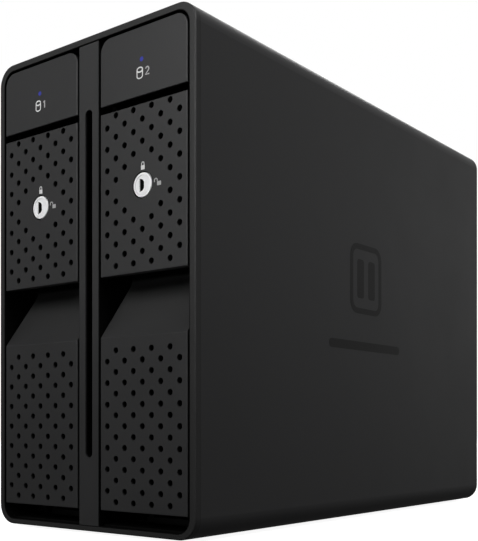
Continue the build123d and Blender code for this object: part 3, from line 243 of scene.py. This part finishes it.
def paint_shade(material, shade_mask, shine):
    """Paint shade: turn paint of that shine into dull black where the mask is 1, standing in for
    the dark of recesses, holes and gaps.
    """
    blend_colour(material, shade_mask, PAINTED_SHADE_TONE)
    specular = add(
        material, "ShaderNodeMapRange", Value=shade_mask, To_Min=shine, To_Max=PAINTED_SHADE_SHINE
    )
    feed(material, principled(material, "Specular IOR Level"), specular.outputs["Result"])


# Near-black tone and dull shine of the painted shade.
PAINTED_SHADE_TONE, PAINTED_SHADE_SHINE = grey(0.0012), 0.08
PAINT_SHINE, RIM_SHINE = 0.5, 0.42
# Lighter grey on the scoop's deep ramp: painted light that offsets the ramp's shade.
SCOOP_RAMP_PAINTED_LIGHT = grey(0.034)


def front_paint(name, dark, light):
    """Fine-grained paint; returns it with the position's sockets and the depth mask for painted
    shade behind the face.
    """
    material = textured(name, dark, light, (0.44, 0.52), 0.30 * MM, 0.012 * MM)
    where = add(material, "ShaderNodeSeparateXYZ", Vector=place(material)).outputs
    depth_shade = rising(material, where["Y"], *PAINTED_SHADE_DEPTHS)
    return material, where, depth_shade


def panel_paint_and_shade():
    """Paint on the panels' faces, with painted shade on all that lies behind them."""
    material, _, depth_shade = front_paint("panel_paint_and_shade", BLACK, BLACK_LIGHT)
    paint_shade(material, depth_shade, PAINT_SHINE)
    return material


def column_paint_and_shade():
    """Paint on the column's face, with painted shade behind it and on a strip along its long
    edges, dark like a gap.
    """
    material, where, depth_shade = front_paint("column_paint_and_shade", BLACK, BLACK_LIGHT)
    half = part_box("center_column")[1].x
    sideways = calculate(material, "ABSOLUTE", where["X"])
    edge_shade = rising(material, sideways, half - COLUMN_EDGE_SHADE[0], half - COLUMN_EDGE_SHADE[1])
    paint_shade(material, calculate(material, "MAXIMUM", depth_shade, edge_shade), PAINT_SHINE)
    return material


def bezel_paint_and_shade():
    """Paint on the rim and round it, with painted shade on the opening's wall and the collar."""
    material, _, depth_shade = front_paint("bezel_paint_and_shade", grey(0.0070), grey(0.0090))
    opening_shade = inside_outline(material, *RIM_OPENING)
    collar = inside_outline(
        material,
        SIDE_X - COLLAR_INSET,
        BASE_Z + COLLAR_INSET,
        BODY_HIGH.z - COLLAR_INSET,
        COLLAR_RADIUS,
    )
    collar_shade = calculate(material, "MULTIPLY", depth_shade, collar)
    paint_shade(material, calculate(material, "MAXIMUM", opening_shade, collar_shade), RIM_SHINE)
    return material


def door_paint_light_and_shade():
    """Paint on the door's face; painted light growing with depth on its ramp, painted shade on
    holes, pocket, inner faces and the scoop above the ramp.
    """
    material, where, depth_shade = front_paint("door_paint_light_and_shade", BLACK, BLACK_LIGHT)
    ramp = between(material, where["Z"], *SCOOP_RAMP_Z, SCOOP_RAMP_SOFT)
    depth = rising(material, where["Y"], *SCOOP_RAMP_LIGHT_DEPTHS)
    blend_colour(material, calculate(material, "MULTIPLY", ramp, depth), SCOOP_RAMP_PAINTED_LIGHT)
    pocket_shade = calculate(material, "SUBTRACT", depth_shade, ramp)
    paint_shade(material, calculate(material, "MAXIMUM", pocket_shade, 0.0), PAINT_SHINE)
    return material


def circuit_board(name):
    """Green solder mask with copper tracks showing through."""
    material = new_material(name, (0.010, 0.060, 0.030), 0.35, Coat_Weight=0.4)
    tracks = add(
        material,
        "ShaderNodeTexBrick",
        Vector=place(material),
        Scale=160.0,
        Mortar_Size=0.05,
        Color1=(0, 0, 0, 1),
        Color2=(0.25, 0.25, 0.25, 1),
        Mortar=(1, 1, 1, 1),
    ).outputs["Color"]
    vary_colour(material, tracks, (0.008, 0.050, 0.026), (0.020, 0.110, 0.050))
    bump(material, tracks, 0.03 * MM, 0.5)
    return material


def winding(name):
    """Enamelled copper wire wound round the fan's axis."""
    material = new_material(name, (0.42, 0.15, 0.05), 0.3, Metallic=1.0)
    wires = add(
        material,
        "ShaderNodeTexWave",
        {"bands_direction": "Y"},
        Vector=place(material),
        Scale=1200.0,
        Distortion=0.6,
    ).outputs["Fac"]
    vary_colour(material, wires, (0.20, 0.06, 0.02), (0.55, 0.22, 0.08))
    bump(material, wires, 0.1 * MM)
    return material


def satin_nickel(name, metallic):
    """Blasted pale metal, only partly metallic so that its diffuse white stands in for the metal's
    bright reflection; the less metallic, the whiter from every side.
    """
    material = new_material(name, (0.92, 0.92, 0.93), 0.3, Metallic=metallic)
    vary_colour(material, noise(material, 2 * MM), (0.90, 0.90, 0.91), (0.97, 0.97, 0.98))
    vary_roughness(material, noise(material, 1.0 * MM, 2.0), 0.30, 0.36)
    bump(material, noise(material, 0.3 * MM, 2.0), 0.001 * MM, 0.5)
    return material


def light_pipe(name):
    """Clear blue rod, lit from behind."""
    material = new_material(
        name,
        (0.02, 0.025, 0.20),
        0.35,
        Specular_IOR_Level=0.3,
        Emission_Color=(0.012, 0.014, 0.15, 1),
        Emission_Strength=1.0,
    )
    vary_colour(material, noise(material, 0.8 * MM), (0.010, 0.012, 0.12), (0.02, 0.03, 0.20))
    return material


BLACK = (0.0085, 0.0085, 0.0090)
BLACK_LIGHT = (0.0120, 0.0120, 0.0125)
MATERIALS = {
    "sleeve_anodised": textured(
        "anodised_sleeve", BLACK, BLACK_LIGHT, (0.42, 0.48), 0.25 * MM, 0.008 * MM
    ),
    "front_plastic": textured(
        "front_plastic", BLACK, BLACK_LIGHT, (0.44, 0.52), 0.30 * MM, 0.012 * MM
    ),
    "inner_plastic": textured(
        "inner_plastic", grey(0.006), grey(0.010), (0.50, 0.62), 0.5 * MM, 0.010 * MM
    ),
    "panel_steel": textured(
        "powder_coat", grey(0.010), grey(0.014), (0.40, 0.52), 0.6 * MM, 0.030 * MM
    ),
    "cage_steel": textured(
        "coated_sheet", grey(0.006), grey(0.009), (0.40, 0.50), 0.8 * MM, 0.010 * MM
    ),
    "screw_steel": textured(
        "black_zinc", grey(0.030), grey(0.050), (0.30, 0.42), 0.3 * MM, 0.006 * MM, Metallic=0.9
    ),
    "lock_steel": satin_nickel("satin_nickel", 0.25),
    "connector_plastic": textured(
        "connector_plastic", grey(0.008), grey(0.013), (0.32, 0.42), 0.2 * MM, 0.006 * MM
    ),
    "connector_steel": brushed(
        "tin_plate", (0.60, 0.60, 0.61), (0.72, 0.72, 0.73), (0.20, 0.32), 1
    ),
    "brass_contact": brushed(
        "brass_contact", (0.70, 0.50, 0.20), (0.80, 0.62, 0.30), (0.20, 0.30), 2
    ),
    "circuit_board": circuit_board("solder_mask"),
    "led_blue": light_pipe("light_pipe"),
    "led_body": textured(
        "led_resin", (0.70, 0.70, 0.60), (0.80, 0.80, 0.70), (0.20, 0.30), 0.3 * MM, 0.002 * MM
    ),
    "switch_plastic": textured(
        "switch_plastic", grey(0.008), grey(0.011), (0.22, 0.30), 0.4 * MM, 0.003 * MM
    ),
    "fan_plastic": textured(
        "fan_plastic", grey(0.009), grey(0.014), (0.34, 0.46), 0.4 * MM, 0.006 * MM
    ),
    "stator_copper": winding("copper_winding"),
    "heat_sink_aluminium": brushed(
        "bare_aluminium", (0.55, 0.56, 0.57), (0.66, 0.67, 0.68), (0.25, 0.40), 1
    ),
    "cable_jacket": textured(
        "cable_jacket", grey(0.010), grey(0.014), (0.40, 0.55), 0.5 * MM, 0.010 * MM
    ),
    "foot_rubber": textured(
        "foot_rubber", grey(0.010), grey(0.016), (0.75, 0.90), 0.3 * MM, 0.020 * MM
    ),
}

for subpart in frame["record"]["subparts"]:
    node = nodes[subpart["node"]]
    node.data.materials.clear()
    node.data.materials.append(MATERIALS[subpart["material_slot"]])

# The lock's ring gets a less metallic, whiter copy of the nickel: painted highlight for its bright
# rim.
door, panel, rim_highlight_nickel = door_paint_light_and_shade(), panel_paint_and_shade(), satin_nickel("nickel_with_painted_highlight", 0.15)
nodes["front_bezel"].data.materials[0] = bezel_paint_and_shade()
nodes["center_column"].data.materials[0] = column_paint_and_shade()
for side in SIDES:
    nodes[f"tray_door_{side}"].data.materials[0] = door
    nodes[f"led_panel_{side}"].data.materials[0] = panel
    nodes[f"lock_housing_{side}"].data.materials[0] = rim_highlight_nickel


def ink(name, tone):
    """Matt printing ink of one grey tone."""
    return textured(
        name, grey(0.92 * tone), grey(1.08 * tone), (0.50, 0.62), 0.3 * MM, 0.004 * MM
    )


BRIGHT_INK = ink("bright_ink", 0.66)
GREY_INK = ink("grey_ink", 0.42)
DIM_INK = ink("dim_ink", 0.38)
SIDE_PRINT = textured(
    "side_print",
    grey(0.0030),
    grey(0.0040),
    (0.42, 0.48),
    0.4 * MM,
    0.002 * MM,
    Specular_IOR_Level=0.28,
)

# ---------------------------------------------------------------- printed shapes

PRINT_THICKNESS = 0.03 * MM
UPRIGHT = Matrix.Rotation(math.radians(90), 4, "X")
FACING_RIGHT = Matrix.Rotation(math.radians(90), 4, "Z") @ UPRIGHT


def arc(centre, radius, start, end, steps=24):
    """Points on an arc, angles in degrees; radius is one number or a pair."""
    rx, ry = radius if isinstance(radius, tuple) else (radius, radius)
    points = []
    for step in range(steps + 1):
        angle = math.radians(start + (end - start) * step / steps)
        points.append((centre[0] + rx * math.cos(angle), centre[1] + ry * math.sin(angle)))
    return points


def rounded_rectangle(centre, width, height, radius):
    """Closed outline of a rectangle with round corners."""
    x, y = width / 2 - radius, height / 2 - radius
    corners = ((x, y, 0), (-x, y, 90), (-x, -y, 180), (x, -y, 270))
    points = []
    for cx, cy, start in corners:
        points += arc((centre[0] + cx, centre[1] + cy), radius, start, start + 90, 6)
    return points


def stroke(points, width):
    """Closed outline of a line of that width along the points."""
    left, right = [], []
    for i, point in enumerate(points):
        before = Vector(points[max(i - 1, 0)])
        after = Vector(points[min(i + 1, len(points) - 1)])
        across = (after - before).normalized().orthogonal() * width / 2
        left.append(tuple(Vector(point) + across))
        right.append(tuple(Vector(point) - across))
    return left + right[::-1]


def printed(name, outlines, place_at, body, material, thickness=PRINT_THICKNESS):
    """Flat piece: outlines in mm, filled by the even-odd rule, put at place_at."""
    curve = bpy.data.curves.new(name, "CURVE")
    curve.dimensions = "2D"
    curve.fill_mode = "BOTH"
    curve.extrude = thickness / 2
    for outline in outlines:
        spline = curve.splines.new("POLY")
        spline.points.add(len(outline) - 1)
        for point, (x, y) in zip(spline.points, outline):
            point.co = (x * MM, y * MM, 0, 1)
        spline.use_cyclic_u = True
    drawing = bpy.data.objects.new(name + "_drawing", curve)
    mesh = bpy.data.meshes.new_from_object(drawing)
    bpy.data.objects.remove(drawing)
    mesh.transform(place_at)
    mesh.materials.clear()
    mesh.materials.append(material)
    piece = bpy.data.objects.new(name, mesh)
    bpy.context.scene.collection.objects.link(piece)
    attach(piece, body)
    return piece


def on_front(x, z, y=FRONT_Y):
    """Matrix that puts a drawing on a face that looks to the front, x and z in metres."""
    return Matrix.Translation((x, y - PRINT_THICKNESS / 4, z)) @ UPRIGHT


def on_right_side(y, z):
    """Matrix that puts a drawing on the right side of the body."""
    return Matrix.Translation((SIDE_X + PRINT_THICKNESS / 4, y, z)) @ FACING_RIGHT


def on_rear(x, z, y=REAR_Y, turn=0.0):
    """Matrix that puts a drawing on a face that looks to the rear; turn is about Z, in degrees."""
    facing = Matrix.Rotation(math.radians(180 + turn), 4, "Z")
    return Matrix.Translation((x, y + PRINT_THICKNESS / 4, z)) @ facing @ UPRIGHT


CLOSED_PADLOCK = [
    rounded_rectangle((0, -0.66), 1.6, 1.4, 0.15),
    stroke([(-0.52, 0.06), *arc((0, 0.54), 0.52, 180, 0), (0.52, 0.06)], 0.28),
]
OPEN_PADLOCK = [
    rounded_rectangle((0.95, -0.4), 1.66, 1.3, 0.15),
    stroke([(-1.02, 0.15), *arc((-0.4, 0.62), 0.62, 180, -25)], 0.36),
]
DRIVE_SYMBOL = [
    [*arc((0, 1.0), (1.4, 0.93), 0, 180), *arc((0, -1.0), (1.4, 0.93), 180, 360)],
    arc((0, 1.0), (0.98, 0.52), 0, 360),
    [*arc((0, 0.33), (1.0, 0.28), 180, 360), *arc((0, -0.98), (1.0, 0.58), 360, 180)],
]
NUMERALS = {
    "left": [
        [
            (-0.64, 0.58),
            (-0.64, 0.90),
            (-0.10, 1.27),
            (0.34, 1.27),
            (0.34, -1.22),
            (-0.10, -1.22),
            (-0.10, 0.82),
        ]
    ],
    "right": [
        stroke([*arc((0, 0.55), 0.69, 165, -38), (-0.81, -1.11), (0.90, -1.11)], 0.44),
    ],
}
SYMBOLS_Z = BASE_Z + 147.45 * MM

for side in SIDES:
    tray = f"tray_{side}"
    lock = middle(f"lock_housing_{side}")
    # Name, outlines, mm to the right of the lock's centre, height, body and ink.
    for name, outlines, right_of_lock, height, body, tone in (
        ("closed_padlock", CLOSED_PADLOCK, 0.25, lock.z + 6.15 * MM, tray, BRIGHT_INK),
        ("open_padlock", OPEN_PADLOCK, 6.28, lock.z - 0.2 * MM, tray, DIM_INK),
        ("drive_symbol", DRIVE_SYMBOL, -1.1, SYMBOLS_Z, "enclosure", BRIGHT_INK),
        ("bay_number", NUMERALS[side], 2.15, SYMBOLS_Z, "enclosure", GREY_INK),
    ):
        at_lock = on_front(lock.x + right_of_lock * MM, height)
        printed(f"{name}_{side}", outlines, at_lock, body, tone)

# A square with two upright bars, for the two drives, and a bar below it.
SIDE_EMBLEM = [
    rounded_rectangle((0, 0), 24.0, 27.0, 5.0),
    rounded_rectangle((0, 0), 19.6, 22.6, 3.0),
    rounded_rectangle((-4.2, 0), 5.0, 15.0, 1.2),
    rounded_rectangle((4.2, 0), 5.0, 15.0, 1.2),
]
SIDE_BAR = [rounded_rectangle((0, 0), 54.0, 3.4, 1.7)]
EMBLEM_Y = -2 * MM
for name, outlines, height in (
    ("side_emblem", SIDE_EMBLEM, 92 * MM),
    ("side_emblem_bar", SIDE_BAR, 66 * MM),
):
    printed(name, outlines, on_right_side(EMBLEM_Y, BASE_Z + height), "enclosure", SIDE_PRINT)

# ---------------------------------------------------------------- rear signs

DIRECT_CURRENT = [
    rounded_rectangle((0, 0.4), 4.2, 0.5, 0.1),
    rounded_rectangle((-1.6, -0.5), 1.0, 0.5, 0.1),
    rounded_rectangle((0, -0.5), 1.0, 0.5, 0.1),
    rounded_rectangle((1.6, -0.5), 1.0, 0.5, 0.1),
]
RING = [arc((0, 0), 1.5, 0, 360, 32), arc((0, 0), 1.05, 0, 360, 32)]
STROKE_SIGN = [rounded_rectangle((0, 0), 0.5, 3.2, 0.1)]
DIAL_DOT = [arc((0, 0), 0.4, 0, 360, 16)]

JACK_SIGN_RISE = 6.1 * MM
jack = middle("dc_center_pin")
printed(
    "direct_current_sign",
    DIRECT_CURRENT,
    on_rear(jack.x, jack.z + JACK_SIGN_RISE),
    "enclosure",
    GREY_INK,
)
DIAL_DOT_RING = 5.2 * MM
DIAL_DOT_ANGLES = (0, 90, 180, 270)
dial = middle("raid_dial")
for number, angle in enumerate(DIAL_DOT_ANGLES):
    across = DIAL_DOT_RING * math.sin(math.radians(angle))
    up = DIAL_DOT_RING * math.cos(math.radians(angle))
    printed(
        f"dial_dot_{number}",
        DIAL_DOT,
        on_rear(dial.x + across, dial.z + up),
        "enclosure",
        GREY_INK,
    )

# The rocker's two wings slope by 16 degrees to its pivot and rest tipped by 8 degrees.
rocker = middle("rocker_housing")
PIVOT_DEPTH = 2.2 * MM
PIVOT = Vector((rocker.x, REAR_Y - PIVOT_DEPTH))
WING_SLOPE, REST_TILT = 16.0, 8.0
SIGN_OFFSET, WING_RISE = 3.1 * MM, 2.8 * MM
for name, outlines, side in (("on_sign", STROKE_SIGN, 1), ("off_sign", RING, -1)):
    along = side * SIGN_OFFSET
    out = WING_RISE + abs(along) * math.tan(math.radians(WING_SLOPE))
    spot = Vector((along, out))
    spot.rotate(Matrix.Rotation(math.radians(REST_TILT), 2))
    spot += PIVOT
    printed(
        name,
        outlines,
        on_rear(spot.x, rocker.z, spot.y, REST_TILT + side * WING_SLOPE),
        "power_switch",
        BRIGHT_INK,
    )

# ---------------------------------------------------------------- details the CAD leaves out

# Painted shade in each keyhole: a black sheet a little below its rim stands in for the keyway's
# dark, and a flat black outline beside it is a painted shadow of the bevel.
KEYHOLE_SHADE = textured(
    "keyhole_shade_sheet",
    grey(0.0015),
    grey(0.0025),
    (0.5, 0.6),
    0.5 * MM,
    0.004 * MM,
    Specular_IOR_Level=0.02,
)
KEYHOLE = [[(-1.17, -2.02), (0.17, -1.34), (0.17, 1.34), (-1.17, 2.02)]]
KEYHOLE_BEVEL_SHADOW = [
    [(-1.25, -2.15), (0.10, -1.70), (0.65, -0.90), (0.65, 0.90), (0.10, 1.70), (-1.25, 2.15)],
    [(-1.18, -2.05), (0.18, -1.35), (0.18, 1.35), (-1.18, 2.05)],
]
SHADE_SHEET_DEPTH, SHADE_SHEET_THICKNESS = 0.42 * MM, 0.3 * MM
for side in SIDES:
    plug = middle(f"lock_plug_{side}")
    shade_sheet = printed(
        f"keyhole_shutter_{side}",
        KEYHOLE,
        on_front(plug.x, plug.z, FRONT_Y + SHADE_SHEET_DEPTH),
        f"lock_{side}",
        KEYHOLE_SHADE,
        SHADE_SHEET_THICKNESS,
    )
    printed(
        f"keyhole_bevel_{side}",
        KEYHOLE_BEVEL_SHADOW,
        on_front(plug.x, plug.z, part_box(f"lock_plug_{side}")[0].y),
        f"lock_{side}",
        KEYHOLE_SHADE,
    )

# Contact strips along one wall of each drive connector's two slots.
# A slot is its first contact's height and its number of contacts. Outlines are in mm.
CONTACT_SLOTS = ((-15.39, 15), (9.19, 7))
CONTACT_PITCH, CONTACT_DEPTH = 1.27, 2.6
CONTACT_LENGTH, CONTACT_WIDTH, CONTACT_CORNER = 3.6, 0.7, 0.1
CONTACT_THICKNESS, CONTACT_WALL = 0.1 * MM, 1.14 * MM
CONTACT_STRIPS = [
    rounded_rectangle(
        (CONTACT_DEPTH, first + pin * CONTACT_PITCH),
        CONTACT_LENGTH,
        CONTACT_WIDTH,
        CONTACT_CORNER,
    )
    for first, count in CONTACT_SLOTS
    for pin in range(count)
]
for side in SIDES:
    connector = f"sata_connector_{side}"
    centre = middle(connector)
    at_wall = (centre.x - CONTACT_WALL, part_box(connector)[0].y, centre.z)
    contacts = printed(
        f"drive_contacts_{side}",
        CONTACT_STRIPS,
        Matrix.Translation(at_wall) @ FACING_RIGHT,
        "enclosure",
        MATERIALS["brass_contact"],
        CONTACT_THICKNESS,
    )

# ---------------------------------------------------------------- camera, light, floor

# Found from the photograph's perspective; the shift keeps its uprights parallel.
LENS, SENSOR_WIDTH, SHIFT = 60.87, 36.0, 0.2864
CAMERA_PLACE = (227.14 * MM, -314.04 * MM, BASE_Z + 35.36 * MM)
CAMERA_TURN = 37.915
camera_data = bpy.data.cameras.new("camera")
camera_data.lens = LENS
camera_data.sensor_width = SENSOR_WIDTH
camera_data.shift_y = SHIFT
camera_data.clip_start = 0.01
camera = bpy.data.objects.new("camera", camera_data)
camera.location = CAMERA_PLACE
camera.rotation_euler = (math.radians(90), 0, math.radians(CAMERA_TURN))
bpy.context.scene.collection.objects.link(camera)
bpy.context.scene.camera = camera


def soft_light(name, location, target, size, power):
    """Square area light at location, turned to target, both in metres."""
    data = bpy.data.lights.new(name, "AREA")
    data.size = size
    data.energy = power
    lamp = bpy.data.objects.new(name, data)
    lamp.location = location
    aim = Vector(target) - Vector(location)
    lamp.rotation_euler = aim.to_track_quat("-Z", "Y").to_euler()
    bpy.context.scene.collection.objects.link(lamp)


MIDDLE = (0, 0, 0.09)
# Name, place, size in metres and power in watts.
for name, location, size, power in (
    ("near_front", (0.015, -0.43, 0.27), 0.25, 1.08),
    ("front_left", (-1.2, -0.9, 0.7), 0.8, 1.05),
    ("right_top", (0.9, -0.2, 1.0), 0.7, 11.0),
    ("right_rear", (1.0, 1.3, 0.8), 0.8, 0.5),
    ("rear", (0.1, 1.8, 0.7), 1.0, 1.1),
    ("rear_top", (0.3, 1.2, 1.2), 0.8, 0.7),
    ("rear_left", (-0.7, 1.6, 1.2), 0.8, 8.0),
    ("rear_fill", (-0.3, 1.7, 0.25), 0.9, 9.0),
    ("left_fill", (-1.6, 0.3, 0.3), 0.9, 11.0),
):
    soft_light(name, location, MIDDLE, size, power)

# Brightness of the surroundings by height above the horizon, in degrees.
SURROUNDINGS = (
    (-90, 0.087),
    (-40, 0.049),
    (-15, 0.084),
    (0, 0.227),
    (12, 0.194),
    (24, 0.0),
    (38, 0.0),
    (55, 0.444),
    (90, 0.0),
)


def studio_world():
    """White for the camera; what lights the object depends on the height only."""
    world = bpy.data.worlds.new("studio")
    world.use_nodes = True
    direction = add(world, "ShaderNodeTexCoord").outputs["Generated"]
    upward = add(world, "ShaderNodeSeparateXYZ", Vector=direction).outputs["Z"]
    # From 0 straight down to 1 straight up.
    height = calculate(world, "MULTIPLY_ADD", upward, 0.5, 0.5)
    ramp = add(world, "ShaderNodeValToRGB", Fac=height)
    stops = ramp.color_ramp.elements
    stops.remove(stops[1])
    for number, (degrees, brightness) in enumerate(SURROUNDINGS):
        position = (math.sin(math.radians(degrees)) + 1) / 2
        stop = stops.new(position) if number else stops[0]
        stop.position = position
        stop.color = (*grey(brightness), 1)
    for_camera = add(world, "ShaderNodeLightPath").outputs["Is Camera Ray"]
    sky = mix_colours(world, for_camera, ramp.outputs["Color"], grey(1))
    feed(world, world.node_tree.nodes["Background"].inputs["Color"], sky)
    bpy.context.scene.world = world


studio_world()
bpy.context.scene.view_settings.view_transform = "Standard"

FLOOR_HALF, FLOOR_GLOW = 4.0, 0.93
FLOOR_CORNERS = ((-1, -1), (1, -1), (1, 1), (-1, 1))
floor_mesh = bpy.data.meshes.new("floor")
floor_mesh.from_pydata(
    [(FLOOR_HALF * x, FLOOR_HALF * y, 0) for x, y in FLOOR_CORNERS], [], [(0, 1, 2, 3)]
)
floor_mesh.materials.append(
    new_material(
        "floor",
        grey(0.5),
        0.9,
        Specular_IOR_Level=0.0,
        Emission_Color=(1, 1, 1, 1),
        Emission_Strength=FLOOR_GLOW,
    )
)
floor = bpy.data.objects.new("floor", floor_mesh)
floor.visible_diffuse = False
floor.visible_glossy = False
bpy.context.scene.collection.objects.link(floor)
